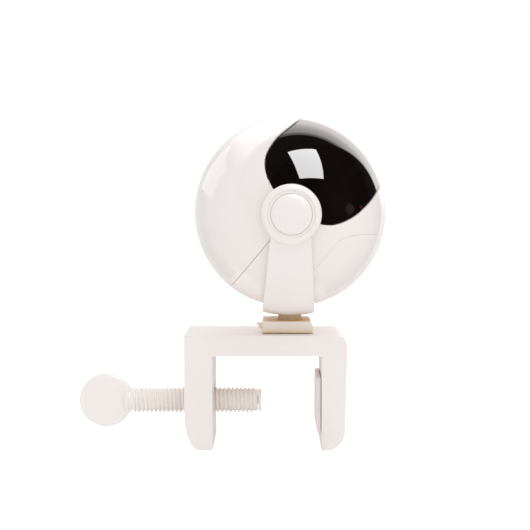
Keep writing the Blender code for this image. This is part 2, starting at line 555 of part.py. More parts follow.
def electronics():
    """The main board over the battery bay and what is wired to it."""
    board = box("main_board", (-22 * MM, -24 * MM, BOARD_LEVEL), (16 * MM, 24 * MM, BOARD_LEVEL + 1.6 * MM), HEAD,
                BOARD_GREEN)
    for number, (x, y) in enumerate(BOARD_BOSSES, 1):
        cut(board, cylinder(f"board_clearance_{number}", SCREW_HOLE, (x, y, -20 * MM), (x, y, 0), HEAD))
        fastener(f"board_screw_{number}", (x, y, BOARD_LEVEL + 1.6 * MM + GAP), (0, 0, -1), 8 * MM, HEAD)
    box("antenna", (-15 * MM, -3 * MM, 33 * MM), (15 * MM, 3 * MM, 33.8 * MM), HEAD, COPPER)
    box("battery", (-15 * MM, -20 * MM, -33 * MM), (9 * MM, 20 * MM, -26.3 * MM), HEAD, BATTERY_WRAP)
    cylinder("microphone", 3 * MM, MICROPHONE_WAY * 39.6 * MM, MICROPHONE_WAY * 42.3 * MM, HEAD, STEEL, MEDIUM)
    cylinder("status_led", 1.5 * MM, STATUS_WAY * 38.5 * MM, STATUS_WAY * 41.8 * MM, HEAD, LED_RED)
    inlet = [(0, 35 * MM), (2.8 * MM, 35 * MM), (2.8 * MM, 42.6 * MM), (4.5 * MM, 42.6 * MM),
             (4.5 * MM, 31 * MM), (0, 31 * MM)]
    jack = turned("dc_inlet", inlet, (0, 0, INLET_HEIGHT), (-1, 0, 0), HEAD, BLACK_PLASTIC, MEDIUM)
    join(jack, cylinder("inlet_pin", 0.8 * MM, (-41 * MM, 0, INLET_HEIGHT), (-34 * MM, 0, INLET_HEIGHT), HEAD))


def power_button():
    """The round button on the back of the head, and the switch that it presses."""
    stem, flange = 3.5 * MM, 4.5 * MM
    profile = [(0, 44.9 * MM), (stem - 0.4 * MM, 44.8 * MM), (stem, 44.4 * MM), (stem, 42.2 * MM),
               (flange, 42.2 * MM), (flange, 41.1 * MM), (0, 41.1 * MM)]
    turned("power_button", profile, (0, 0, 0), BUTTON_WAY, HEAD, SHELL_WHITE, MEDIUM)
    cylinder("power_switch", 3.2 * MM, BUTTON_WAY * 36.8 * MM, BUTTON_WAY * 40.3 * MM, HEAD, BLACK_PLASTIC)


clamp_frame()
clamp_pad()
thumb_screw()
swivel_base()
yoke()
pivots()
head_shells()
camera_module()
electronics()
power_button()
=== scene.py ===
"""The looks of the baby monitor camera: fine surfaces, materials, a plain studio and the camera."""
import json
from math import ceil, cos, pi, radians, sin, sqrt

import bmesh
import bpy
import numpy as np
from mathutils import Matrix, Quaternion, Vector
from mathutils.geometry import delaunay_2d_cdt


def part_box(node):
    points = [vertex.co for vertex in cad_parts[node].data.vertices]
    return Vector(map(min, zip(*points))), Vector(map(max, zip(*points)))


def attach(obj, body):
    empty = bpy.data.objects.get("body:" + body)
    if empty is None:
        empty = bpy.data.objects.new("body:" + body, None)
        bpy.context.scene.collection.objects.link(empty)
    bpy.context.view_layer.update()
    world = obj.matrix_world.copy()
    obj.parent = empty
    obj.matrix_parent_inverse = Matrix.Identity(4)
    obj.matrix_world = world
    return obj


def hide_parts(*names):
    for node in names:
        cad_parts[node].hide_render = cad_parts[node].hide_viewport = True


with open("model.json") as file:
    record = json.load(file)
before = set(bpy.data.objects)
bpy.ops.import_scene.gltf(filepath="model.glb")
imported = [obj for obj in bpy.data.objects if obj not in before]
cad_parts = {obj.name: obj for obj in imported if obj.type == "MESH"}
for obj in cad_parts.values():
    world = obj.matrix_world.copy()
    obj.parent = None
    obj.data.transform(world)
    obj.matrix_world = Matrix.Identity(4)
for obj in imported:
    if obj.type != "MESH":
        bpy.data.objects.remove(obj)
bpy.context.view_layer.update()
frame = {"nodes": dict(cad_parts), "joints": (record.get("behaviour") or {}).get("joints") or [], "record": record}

MM = 0.001
SLIVER = 0.002 * MM                 # points closer than this become one
JOINTS = {joint["name"]: joint for joint in frame["joints"]}
SLOTS = {part["node"]: part["material_slot"] for part in frame["record"]["subparts"]}

# Places read from the frame
HEAD_CENTRE = Vector(JOINTS["tilt"]["pos_m"])
PAN_AXIS = Vector(JOINTS["pan"]["pos_m"])
SCREW_AXIS = Vector(JOINTS["screw_turn"]["pos_m"])
BUTTON_PUSH = Vector(JOINTS["button_press"]["axis"])
CLAMP_LOW, CLAMP_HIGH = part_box("clamp_frame")
PAD_LOW, PAD_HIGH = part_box("clamp_pad")
BASE_LOW, BASE_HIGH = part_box("swivel_base")
ROD_LOW, ROD_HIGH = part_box("clamp_screw")
FOOT_LOW, FOOT_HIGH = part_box("screw_foot")
YOKE_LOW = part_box("yoke_frame")[0]

# Head, in its own frame: X is the optical axis and Z the head's up
HEAD_TILT = radians(51.0)
HEAD = Matrix.Translation(HEAD_CENTRE) @ Matrix.Rotation(-HEAD_TILT, 4, "Y")
HEAD_RADIUS = 45.0 * MM
SHELL = 2.0 * MM
VISOR_RADIUS = 44.2 * MM
VISOR_SHELL = 1.8 * MM
SEAM = 0.14 * MM                    # the gap between two shells
VISOR_GAP = 0.3 * MM
COVER_GAP = 0.03 * MM
COVER_EDGE = -24.0 * MM
TRUNNION_HOLE = 5.3 * MM
INLET_HEIGHT = 9.0 * MM
INLET_HOLE = 4.8 * MM
BUTTON_HOLE = 3.8 * MM
COVER_SCREW_WAY = Vector((-0.6, 0.0, -0.8))
MICROPHONE_WAY = Vector((0.5, 0.0, -sqrt(0.75)))
STATUS_WAY = Vector((22.0, -30.7, -22.4)).normalized()
SENSOR_WAY = Vector((18.0, -35.3, -19.0)).normalized()

# Yoke, about the head's centre
YOKE_INNER, YOKE_OUTER = 45.8 * MM, 49.0 * MM
STRAP_TOP_HALF, STRAP_BOTTOM_HALF = 7.84 * MM, 12.6 * MM
STRAP_LEAN = -1.0 * MM
HUB_RADIUS, HUB_STEP, HUB_RECESS = 13.2 * MM, 10.3 * MM, 9.08 * MM
HUB_FLOOR, HUB_LEDGE, HUB_FACE = 49.6 * MM, 50.3 * MM, 50.6 * MM
CAP_RADIUS, CAP_TOP, CAP_RIM, CAP_SKIRT = 9.0 * MM, 52.2 * MM, 50.5 * MM, 49.65 * MM
NECK_RADIUS, NECK_TOP = 5.55 * MM, 18.6 * MM

# Clamp
SCREW_LEG, FIXED_LEG = 13.0 * MM, 11.8 * MM
SCREW_LEG_ROUND, FIXED_LEG_ROUND = (7.0 * MM, 17.0 * MM), (9.0 * MM, 9.0 * MM)
FIXED_LEG_DRAFT = 0.9 * MM          # how far its outer face leans in
SHOULDER_ROUND = 5.0 * MM
TAPPED_HOLE, HOLE_MOUTH = 6.35 * MM, 7.1 * MM

# Thumb screw
THREAD_PITCH = 2.0 * MM
THREAD_CREST, THREAD_ROOT = 6.1 * MM, 5.1 * MM
COLLAR_RADIUS, COLLAR_LENGTH = 5.9 * MM, 2.6 * MM
DISC_RADIUS, DISC_THICKNESS = 12.7 * MM, 7.0 * MM
FOOT_RADIUS, FOOT_PIN, FOOT_SHOULDER = 5.4 * MM, 2 * MM, -4.3 * MM


# ---------------------------------------------------------------- materials

class Nodes:
    """A new material's node tree, with short calls to add and join nodes."""

    def __init__(self, name):
        self.material = bpy.data.materials.new(name)
        self.material.use_nodes = True
        self.tree = self.material.node_tree
        self.shader = self.tree.nodes["Principled BSDF"]
        self.coordinates = self.tree.nodes.new("ShaderNodeTexCoord").outputs["Object"]

    def add(self, kind, **inputs):
        node = self.tree.nodes.new(kind)
        for name, value in inputs.items():
            node.inputs[name.replace("_", " ")].default_value = value
        return node

    def link(self, source, target):
        self.tree.links.new(source, target)

    def noise(self, scale, detail=3.0, roughness=0.5, stretch=None):
        node = self.add("ShaderNodeTexNoise", Scale=scale, Detail=detail, Roughness=roughness)
        source = self.coordinates
        if stretch:
            mapping = self.add("ShaderNodeMapping", Scale=stretch)
            self.link(source, mapping.inputs["Vector"])
            source = mapping.outputs["Vector"]
        self.link(source, node.inputs["Vector"])
        return node.outputs["Fac"]

    def spread(self, factor, low, high, start=0.35, end=0.65):
        """A number that runs from low to high as factor runs from start to end."""
        node = self.add("ShaderNodeMapRange", From_Min=start, From_Max=end, To_Min=low, To_Max=high)
        self.link(factor, node.inputs["Value"])
        return node.outputs["Result"]

    def blend(self, factor, first, second):
        """A colour between first and second, each a colour or a socket."""
        node = self.tree.nodes.new("ShaderNodeMix")
        node.data_type = "RGBA"
        self.link(factor, node.inputs[0])
        for socket, value in ((node.inputs[6], first), (node.inputs[7], second)):
            if isinstance(value, tuple):
                socket.default_value = (*value, 1.0)
            else:
                self.link(value, socket)
        return node.outputs[2]

    def bump(self, height, strength, distance, after=None):
        node = self.add("ShaderNodeBump", Strength=strength, Distance=distance)
        self.link(height, node.inputs["Height"])
        if after:
            self.link(after, node.inputs["Normal"])
        return node.outputs["Normal"]

    def finish(self, colour=None, roughness=None, normal=None, **constants):
        for source, name in ((colour, "Base Color"), (roughness, "Roughness"), (normal, "Normal")):
            if source is not None:
                self.link(source, self.shader.inputs[name])
        for name, value in constants.items():
            self.shader.inputs[name.replace("_", " ")].default_value = value
        return self.material


def moulded(name, colour, shade, roughness, grain, painted_crevice_shade=None, reach=4 * MM, low=None, **constants):
    """Moulded plastic: faint flow clouds, uneven gloss and a skin that isn't quite flat. The crevice colour is
    painted shade:
    it tints what lies within reach of other surfaces. low, a (from, to, colour) by height, paints shade on what
    lies below."""
    nodes = Nodes(name)
    clouds = nodes.noise(22.0, 2.0)
    skin = nodes.noise(240.0, 3.0)
    fine = nodes.noise(1900.0, 2.0)
    normal = nodes.bump(skin, 0.05, 0.2 * MM)
    normal = nodes.bump(fine, grain, 0.05 * MM, normal)
    surface = nodes.blend(nodes.spread(clouds, 0.0, 1.0), colour, shade)
    # Painted shade by height: below the given heights the surface turns to the given colour
    if low:
        start, end, painted_shade_colour = low
        height = nodes.add("ShaderNodeSeparateXYZ")
        nodes.link(nodes.coordinates, height.inputs[0])
        surface = nodes.blend(nodes.spread(height.outputs["Z"], 0.0, 1.0, start, end), surface, painted_shade_colour)
    # Painted shade: where ambient occlusion finds other surfaces within reach, the surface turns to the crevice
    # colour
    if painted_crevice_shade:
        shade_occlusion = nodes.add("ShaderNodeAmbientOcclusion", Distance=reach)
        shade_occlusion.samples = 8
        surface = nodes.blend(nodes.spread(shade_occlusion.outputs["AO"], 1.0, 0.0, 0.0, 0.8), surface, painted_crevice_shade)
    return nodes.finish(surface, nodes.spread(skin, roughness * 0.85, roughness * 1.2), normal, **constants)


def brushed(name, colour, roughness):
    nodes = Nodes(name)
    lines = nodes.noise(900.0, 4.0, stretch=(1.0, 1.0, 0.08))
    spots = nodes.noise(160.0, 3.0)
    dull = tuple(0.8 * channel for channel in colour)
    return nodes.finish(nodes.blend(nodes.spread(spots, 0.0, 1.0), colour, dull),
                        nodes.spread(lines, roughness * 0.7, roughness * 1.4),
                        nodes.bump(lines, 0.12, 0.05 * MM), Metallic=1.0)


def circuit_board(name):
    """Solder mask with fine tracks that show through it."""
    nodes = Nodes(name)
    cells = nodes.add("ShaderNodeTexBrick", Scale=420.0, Mortar_Size=0.03)
    cells.inputs["Color1"].default_value = (0.012, 0.13, 0.05, 1.0)
    cells.inputs["Color2"].default_value = (0.016, 0.17, 0.06, 1.0)
    cells.inputs["Mortar"].default_value = (0.04, 0.28, 0.11, 1.0)
    nodes.link(nodes.coordinates, cells.inputs["Vector"])
    dust = nodes.noise(500.0)
    return nodes.finish(cells.outputs["Color"], nodes.spread(dust, 0.3, 0.5),
                        nodes.bump(dust, 0.05, 0.05 * MM))


def visor_plastic(name):
    """Infrared-passing black, with the standby light and the light sensor dimly seen through it."""
    nodes = Nodes(name)
    haze = nodes.noise(60.0, 2.0)
    colour = nodes.blend(nodes.spread(haze, 0.0, 1.0), (0.005, 0.003, 0.003), (0.007, 0.0045, 0.004))

    def near(way, radius):
        """1 within radius of the visor's surface in that direction, fading to 0 just outside."""
        spot = HEAD @ (way * VISOR_RADIUS)
        away = nodes.tree.nodes.new("ShaderNodeVectorMath")
        away.operation = "DISTANCE"
        nodes.link(nodes.coordinates, away.inputs[0])
        away.inputs[1].default_value = spot
        return nodes.spread(away.outputs["Value"], 1.0, 0.0, 0.7 * radius, 1.2 * radius)

    colour = nodes.blend(near(SENSOR_WAY, 2.4 * MM), colour, (0.022, 0.018, 0.018))
    colour = nodes.blend(near(STATUS_WAY, 0.8 * MM), colour, (0.09, 0.008, 0.006))
    return nodes.finish(colour, nodes.spread(haze, 0.02, 0.035), IOR=1.5)


def rubber(name):
    nodes = Nodes(name)
    clouds, grit = nodes.noise(90.0, 3.0), nodes.noise(2600.0, 2.0)
    return nodes.finish(nodes.blend(nodes.spread(clouds, 0.0, 1.0), (0.90, 0.83, 0.81), (0.87, 0.79, 0.765)),
                        nodes.spread(clouds, 0.65, 0.8), nodes.bump(grit, 0.35, 0.08 * MM))


def clear(name, tint, roughness, **constants):
    nodes = Nodes(name)
    wave = nodes.noise(200.0, 2.0)
    pale = tuple(min(1.0, 1.08 * channel) for channel in tint)
    return nodes.finish(nodes.blend(nodes.spread(wave, 0.0, 1.0), tint, pale),
                        nodes.spread(wave, roughness * 0.8, roughness * 1.3), **constants)


# The sixth colour of each white is painted shade: a warm tint that ambient occlusion puts into crevices, seams and
# gaps
MATERIALS = {
    "shell_white": moulded("glossy_white", (0.875, 0.825, 0.80), (0.86, 0.81, 0.785), 0.07, 0.015,
                           (0.74, 0.62, 0.42), 1.2 * MM),
    # The low colour is painted shade: the yoke's neck below 18.5 mm turns warm, as it looks in the shade under the
    # strap
    "satin_white": moulded("satin_white", (0.88, 0.83, 0.805), (0.865, 0.815, 0.79), 0.4, 0.06,
                           (0.91, 0.78, 0.56), 1.5 * MM, low=(18.5 * MM, 16.5 * MM, (1.0, 0.84, 0.54))),
    "clamp_white": moulded("satin_cream", (0.885, 0.83, 0.805), (0.87, 0.81, 0.78), 0.36, 0.08,
                           (0.89, 0.79, 0.66), 2.5 * MM),
    "visor_black": visor_plastic("visor_black"),
    "pad_rubber": rubber("pad_rubber"),
    "steel": brushed("zinc_steel", (0.62, 0.62, 0.64), 0.3),
    "board_green": circuit_board("solder_mask"),
    "black_plastic": moulded("black_plastic", (0.018, 0.018, 0.019), (0.024, 0.023, 0.024), 0.45, 0.15),
    "lens_glass": clear("lens_glass", (0.25, 0.3, 0.42), 0.03, Transmission_Weight=0.7),
    "led_clear": clear("led_clear", (0.75, 0.75, 0.8), 0.08),
    "led_red": clear("led_red", (0.75, 0.03, 0.02), 0.15),
    "battery_wrap": clear("battery_wrap", (0.08, 0.2, 0.48), 0.3),
    "copper": brushed("copper", (0.8, 0.45, 0.26), 0.3),
}


# ---------------------------------------------------------------- pieces

def add_piece(name, mesh, body, *nodes, material=None):
    """A piece that replaces CAD nodes, rides on their body and takes their material, or the one given."""
    piece = bpy.data.objects.new(name, mesh)
    bpy.context.scene.collection.objects.link(piece)
    slot = SLOTS[nodes[0]]
    mesh.materials.clear()
    mesh.materials.append(material or MATERIALS[slot])
    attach(piece, body)
    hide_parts(*nodes)
    return piece


def new_mesh(name, points, faces, normals=None):
    mesh = bpy.data.meshes.new(name)
    mesh.from_pydata([tuple(p) for p in points], [], [tuple(int(i) for i in face) for face in faces])
    mesh.shade_smooth()
    if normals is not None:
        mesh.normals_split_custom_set_from_vertices([tuple(n) for n in normals])
    return mesh


def evaluated(name, mesh, modifiers):
    """The mesh after modifiers, each a (kind, settings) pair."""
    holder = bpy.data.objects.new(name, mesh)
    bpy.context.scene.collection.objects.link(holder)
    for kind, settings in modifiers:
        modifier = holder.modifiers.new(kind.lower(), kind)
        for key, value in settings.items():
            setattr(modifier, key, value)
    bpy.context.view_layer.update()
    made = bpy.data.meshes.new_from_object(holder.evaluated_get(bpy.context.evaluated_depsgraph_get()))
    made.name = name
    bpy.data.objects.remove(holder)
    return made


def combined(name, mesh, others, operation="UNION", sharp=40):
    """mesh joined with the others, or cut by them."""
    helpers = []
    for other in others:
        helper = bpy.data.objects.new("helper", other)
        bpy.context.scene.collection.objects.link(helper)
        helpers.append(helper)
    steps = []
    for helper in helpers:
        steps.append(("TRIANGULATE", {}))
        steps.append(("BOOLEAN", {"operation": operation, "solver": "EXACT", "object": helper}))
    made = evaluated(name, mesh, steps)
    for helper in helpers:
        bpy.data.objects.remove(helper)
    bm = bmesh.new()
    bm.from_mesh(made)
    bmesh.ops.remove_doubles(bm, verts=bm.verts, dist=SLIVER)
    bmesh.ops.dissolve_degenerate(bm, dist=SLIVER, edges=bm.edges)
    bm.to_mesh(made)
    bm.free()
    made.shade_smooth()
    made.set_sharp_from_angle(angle=radians(sharp))
    return made


def rounded(corners, steps=6):
    """An outline of (x, y, radius) corners as points, with each corner rounded to its radius."""
    points = []
    before, after = corners[-1:] + corners[:-1], corners[1:] + corners[:1]
    for (x0, y0, _), (x, y, radius), (x1, y1, _) in zip(before, corners, after):
        here = Vector((x, y))
        back, on = (Vector((x0, y0)) - here).normalized(), (Vector((x1, y1)) - here).normalized()
        half = back.angle(on) / 2
        if not radius or half > 0.49 * pi:
            points.append((x, y))
            continue
        middle = here + (back + on).normalized() * (radius / sin(half))
        start = here + back * (radius / np.tan(half)) - middle
        turn = pi - 2 * half
        if back.cross(on) > 0:
            turn = -turn
        for i in range(steps + 1):
            a = turn * i / steps
            points.append((middle.x + start.x * cos(a) - start.y * sin(a),
                           middle.y + start.x * sin(a) + start.y * cos(a)))
    return points


def lathe(name, profile, matrix, sides=96):
    """A solid turned about Z from a closed outline of (radius, height) points, placed by matrix."""
    bm = bmesh.new()
    ring = [bm.verts.new((radius, 0.0, height)) for radius, height in profile]
    edges = [bm.edges.new(pair) for pair in zip(ring, ring[1:] + ring[:1])]
    bmesh.ops.spin(bm, geom=ring + edges, cent=(0, 0, 0), axis=(0, 0, 1), angle=2 * pi, steps=sides,
                   use_merge=True)
    bmesh.ops.remove_doubles(bm, verts=bm.verts, dist=SLIVER)
    bmesh.ops.dissolve_degenerate(bm, dist=0.001 * MM, edges=bm.edges)
    bmesh.ops.recalc_face_normals(bm, faces=bm.faces)
    bm.transform(matrix)
    mesh = bpy.data.meshes.new(name)
    bm.to_mesh(mesh)
    bm.free()
    mesh.shade_smooth()
    mesh.set_sharp_from_angle(angle=radians(40))
    return mesh


def facing(origin, way):
    """A frame at origin whose Z points along way."""
    return Matrix.Translation(origin) @ Vector(way).to_track_quat("Z", "Y").to_matrix().to_4x4()


# ---------------------------------------------------------------- shells cut from a ball

def unit(rows):
    return rows / np.linalg.norm(rows, axis=-1, keepdims=True)


def inside(points, rings):
    """Which 2D points are inside the rings, by the even-odd rule."""
    hits = np.zeros(len(points), bool)
    for ring in rings:
        x0, y0 = ring.T
        x1, y1 = np.roll(ring, -1, axis=0).T
        px, py = points[:, :1], points[:, 1:]
        spans = (y0 > py) != (y1 > py)
        with np.errstate(divide="ignore", invalid="ignore"):
            at = x0 + (py - y0) * (x1 - x0) / (y1 - y0)
        hits ^= (spans & (px < at)).sum(axis=1) % 2 == 1
    return hits


def spaced(points, spacing):
    """The same open polyline with evenly spaced points, its last one left out."""
    points = np.asarray(points, float)
    along = np.concatenate(([0.0], np.cumsum(np.linalg.norm(np.diff(points, axis=0), axis=1))))
    count = max(2, ceil(along[-1] / spacing))
    at = np.linspace(0.0, along[-1], count, endpoint=False)
    return np.stack([np.interp(at, along, column) for column in points.T], axis=1)


def fillet(radius, surface, side, steps=5):
    """From wall to skin: (offset from the edge, distance from the centre, radial share of the normal)."""
    rows = []
    for i in range(steps + 1):
        a = pi / 2 * i / steps
        rows.append((radius * (1 - cos(a)), surface - side * radius * (1 - sin(a)), side * sin(a)))
    return rows


def ball_shell(name, loops, way, outer, inner, round_outer, round_inner, matrix, spacing=2.0 * MM):
    """A closed shell of a ball about matrix's origin, bounded by loops of directions, with rounded edges."""
    way = np.array(way, float) / np.linalg.norm(way)
    east = unit(np.cross(way, (0.0, 1.0, 0.0)))
    north = np.cross(way, east)
    if np.dot(np.cross(east, north), way) < 0:
        north = -north

    def flatten(rows):
        share = outer * 2 / (1 + rows @ way)[:, None]
        return np.stack([rows @ east, rows @ north], axis=1) * share

    def lift(flat):
        a, b = (flat / outer).T[:, :, None]
        s = (a * a + b * b) / 4
        return (a * east + b * north + (1 - s) * way) / (1 + s)

    loops = [unit(np.asarray(loop, float)) for loop in loops]
    rings = [flatten(loop) for loop in loops]
    rows = [(offset, distance, share) for offset, distance, share in reversed(fillet(round_inner, inner, -1))]
    rows += fillet(round_outer, outer, 1)
    points, normals, faces, edge_rows = [], [], [], []
    for number, loop in enumerate(loops):
        ahead = np.roll(loop, -1, axis=0) - loop
        lefts = unit(np.cross(loop, ahead))
        left = unit(lefts + np.roll(lefts, 1, axis=0))
        probe = flatten(unit(loop + left * (0.1 * MM / outer)))
        if inside(probe, rings).mean() < 0.5:
            loop = loops[number] = loop[::-1]
            ahead = np.roll(loop, -1, axis=0) - loop
            lefts = unit(np.cross(loop, ahead))
            left = unit(lefts + np.roll(lefts, 1, axis=0))
        stretch = 1 / np.clip((left * lefts).sum(axis=1, keepdims=True), 0.5, 1.0)
        count, first = len(loop), len(points)
        for offset, distance, share in rows:
            moved = unit(loop + left * stretch * (offset / outer))
            points.extend(moved * distance)
            normals.extend(-left * sqrt(max(0.0, 1 - share * share)) + moved * share)
        for row in range(len(rows) - 1):
            low, high = first + row * count, first + (row + 1) * count
            faces += [(low + i, low + (i + 1) % count, high + (i + 1) % count, high + i)
                      for i in range(count)]
        edge_rows.append((first, first + (len(rows) - 1) * count, count))

    rims = [flatten(unit(np.array(points[high:high + count]))) for _, high, count in edge_rows]
    rim = np.concatenate(rims)
    low, top = rim.min(axis=0), rim.max(axis=0)
    grid = [(x + (row % 2) * spacing / 2, y)
            for row, y in enumerate(np.arange(low[1], top[1], spacing * sqrt(0.75)))
            for x in np.arange(low[0], top[0], spacing)]
    grid = np.array(grid)
    grid = grid[inside(grid, rims)]
    nearest = np.array([np.linalg.norm(rim - g, axis=1).min() for g in grid])
    grid = grid[nearest > 0.65 * spacing]
    flat = np.concatenate([rim, grid])
    borders, start = [], 0
    for ring in rims:
        count = len(ring)
        borders += [(start + i, start + (i + 1) % count) for i in range(count)]
        start += count
    made = delaunay_2d_cdt([Vector(p) for p in flat / MM], borders, [], 0, 1e-6)
    flat_made = np.array([tuple(p) for p in made[0]]) * MM
    source = [origins[0] for origins in made[3]]
    middles = np.array([flat_made[list(face)].mean(axis=0) for face in made[2]])
    kept = [face for face, good in zip(made[2], inside(middles, rims)) if good]

    outer_of, inner_of = {}, {}
    start = 0
    for first, high, count in edge_rows:
        for i in range(count):
            outer_of[start + i], inner_of[start + i] = high + i, first + i
        start += count
    lifted = lift(grid)
    for i, direction in enumerate(lifted):
        outer_of[start + i], inner_of[start + i] = len(points), len(points) + 1
        points.extend((direction * outer, direction * inner))
        normals.extend((direction, -direction))
    for face in kept:
        a, b, c = (source[i] for i in face)
        faces.append((outer_of[a], outer_of[b], outer_of[c]))
        faces.append((inner_of[c], inner_of[b], inner_of[a]))
    turn = np.array(matrix.to_3x3())
    points = np.array(points) @ turn.T + np.array(matrix.translation)
    return new_mesh(name, points, faces, np.array(normals) @ turn.T)


# ---------------------------------------------------------------- head

def smooth_line(points, steps=400):
    """A smooth curve through points, leaving out the first and last, which only steer it."""
    points = np.asarray(points, float)
    made = []
    for before, a, b, after in zip(points, points[1:], points[2:], points[3:]):
        t = np.linspace(0, 1, steps, endpoint=False)[:, None]
        made.append(0.5 * (2 * a + (b - before) * t + (2 * before - 5 * a + 4 * b - after) * t ** 2
                           + (3 * a - before - 3 * b + after) * t ** 3))
    return np.concatenate(made)


def shifted(line, amount):
    """A 2D line moved sideways, to its left."""
    ahead = np.gradient(line, axis=0)
    ahead /= np.linalg.norm(ahead, axis=1, keepdims=True)
    return line + amount * np.stack([-ahead[:, 1], ahead[:, 0]], axis=1)


def visor_line(grow=0.0):
    """The visor's edge seen from the side, from its top front round behind the hub to its lower front."""
    points = [(60, 19.0), (50, 21.6), (34, 24.4), (22, 26.4), (13, 25.0), (6.6, 19.3), (2.5, 10.0),
              (1.5, 0.0), (3.2, -9.0), (8.0, -17.5), (16.0, -22.4), (25.0, -24.5), (34.0, -25.0),
              (50, -25.2), (60, -25.4)]
    return shifted(smooth_line(np.array(points) * MM, 2000), -grow)


def cover_line(grow=0.0):
    """The bottom cover's edge seen from the side, from back to front."""
    back = np.stack([np.linspace(-50, 0, 5001), np.full(5001, COVER_EDGE / MM)], axis=1)
    points = [(-4, -24), (0, -24), (4.5, -24.5), (9, -27), (13, -31.3), (18.5, -39), (26, -50), (30, -56)]
    return shifted(np.concatenate([back[:-1], smooth_line(points, 1000)]) * MM, grow)


def notch(start, end):
    """An arc of the trunnion's hole, between two angles in degrees."""
    angles = np.radians(np.linspace(start, end, 60))
    return TRUNNION_HOLE * np.stack([np.cos(angles), np.sin(angles)], axis=1)


def angle_of(point):
    return float(np.degrees(np.arctan2(point[1], point[0])))


def within(line, radius):
    """The part of a line inside the ball's outline."""
    return line[np.hypot(*line.T) < radius]


def around(lines, radius, spacing=0.9 * MM):
    """The closed loop on a ball that lines seen from the side cut: the near side, then its mirror image."""
    near = []
    for line in lines:
        depth = np.sqrt(np.maximum(radius ** 2 - (line ** 2).sum(axis=1), 0.0))
        near.append(np.stack([line[:, 0], -depth, line[:, 1]], axis=1))
    ends = [near[0][0] * (1, 0, 1), near[-1][-1] * (1, 0, 1)]
    near[0] = np.concatenate([[unit(ends[0]) * radius], near[0]])
    near[-1] = np.concatenate([near[-1], [unit(ends[1]) * radius]])
    far = [part[::-1] * (1, -1, 1) for part in reversed(near)]
    return np.concatenate([spaced(part, spacing) for part in near + far])


def ring_about(way, radius, ball, points=40):
    """A round hole's loop about a direction."""
    way = np.array(way, float)
    side = unit(np.cross(way, (0.0, 1.0, 0.0)))
    other = np.cross(way, side)
    angles = np.linspace(0, 2 * pi, points, endpoint=False)[:, None]
    return way * sqrt(ball ** 2 - radius ** 2) + radius * (side * np.cos(angles) + other * np.sin(angles))


def head_shells():
    edge = visor_line(VISOR_GAP)
    edge = within(edge, HEAD_RADIUS)
    hidden = np.hypot(*edge.T) < TRUNNION_HOLE
    first, last = np.argmax(hidden), len(hidden) - np.argmax(hidden[::-1])
    above, below = edge[:first][::-1], edge[last:]
    half = SEAM / 2
    seam = np.stack([np.linspace(-HEAD_RADIUS, -TRUNNION_HOLE, 3000), np.zeros(3000)], axis=1)

    upper = [within(seam + (0, half), HEAD_RADIUS), notch(180, angle_of(above[0])), above]
    button = -(HEAD.to_3x3().inverted() @ BUTTON_PUSH)
    turns = np.linspace(0, 2 * pi, 48, endpoint=False)
    y, z = INLET_HOLE * np.cos(turns), INLET_HEIGHT + INLET_HOLE * np.sin(turns)
    inlet = np.stack([-np.sqrt(HEAD_RADIUS ** 2 - y ** 2 - z ** 2), y, z], axis=1)
    holes = [ring_about(button, BUTTON_HOLE, HEAD_RADIUS), inlet]
    shape = dict(outer=HEAD_RADIUS, inner=HEAD_RADIUS - SHELL, round_outer=0.15 * MM, round_inner=0.1 * MM,
                 matrix=HEAD)
    mesh = ball_shell("upper_skin", [around(upper, HEAD_RADIUS)] + holes, (-0.5, 0, 0.87), **shape)
    add_piece("upper_skin", mesh, "head", "upper_shell")

    lower = [within(seam - (0, half), HEAD_RADIUS), notch(180, 360 + angle_of(below[0])), below]
    cover_gap = within(cover_line(COVER_GAP), HEAD_RADIUS)
    loops = [around(lower, HEAD_RADIUS), around([cover_gap], HEAD_RADIUS),
             ring_about(MICROPHONE_WAY, 0.8 * MM, HEAD_RADIUS, 20)]
    mesh = ball_shell("lower_skin", loops, (-0.15, 0, -1), **shape)
    add_piece("lower_skin", mesh, "head", "lower_shell")

    loops = [around([within(cover_line(), HEAD_RADIUS)], HEAD_RADIUS),
             ring_about(COVER_SCREW_WAY, 3.1 * MM, HEAD_RADIUS)]
    mesh = ball_shell("cover_skin", loops, (-0.45, 0, -0.9), **shape)
    add_piece("cover_skin", mesh, "head", "bottom_cover")

    edge = within(visor_line(), VISOR_RADIUS)
    hidden = np.hypot(*edge.T) < TRUNNION_HOLE
    first, last = np.argmax(hidden), len(hidden) - np.argmax(hidden[::-1])
    above, below = edge[:first], edge[last:]
    band = [above, notch(angle_of(above[-1]), angle_of(below[0])), below]
    mesh = ball_shell("visor_skin", [around(band, VISOR_RADIUS)], (1, 0, 0), VISOR_RADIUS,
                      VISOR_RADIUS - VISOR_SHELL, 0.3 * MM, 0.1 * MM, HEAD, 1.8 * MM)
    add_piece("visor_skin", mesh, "head", "visor")


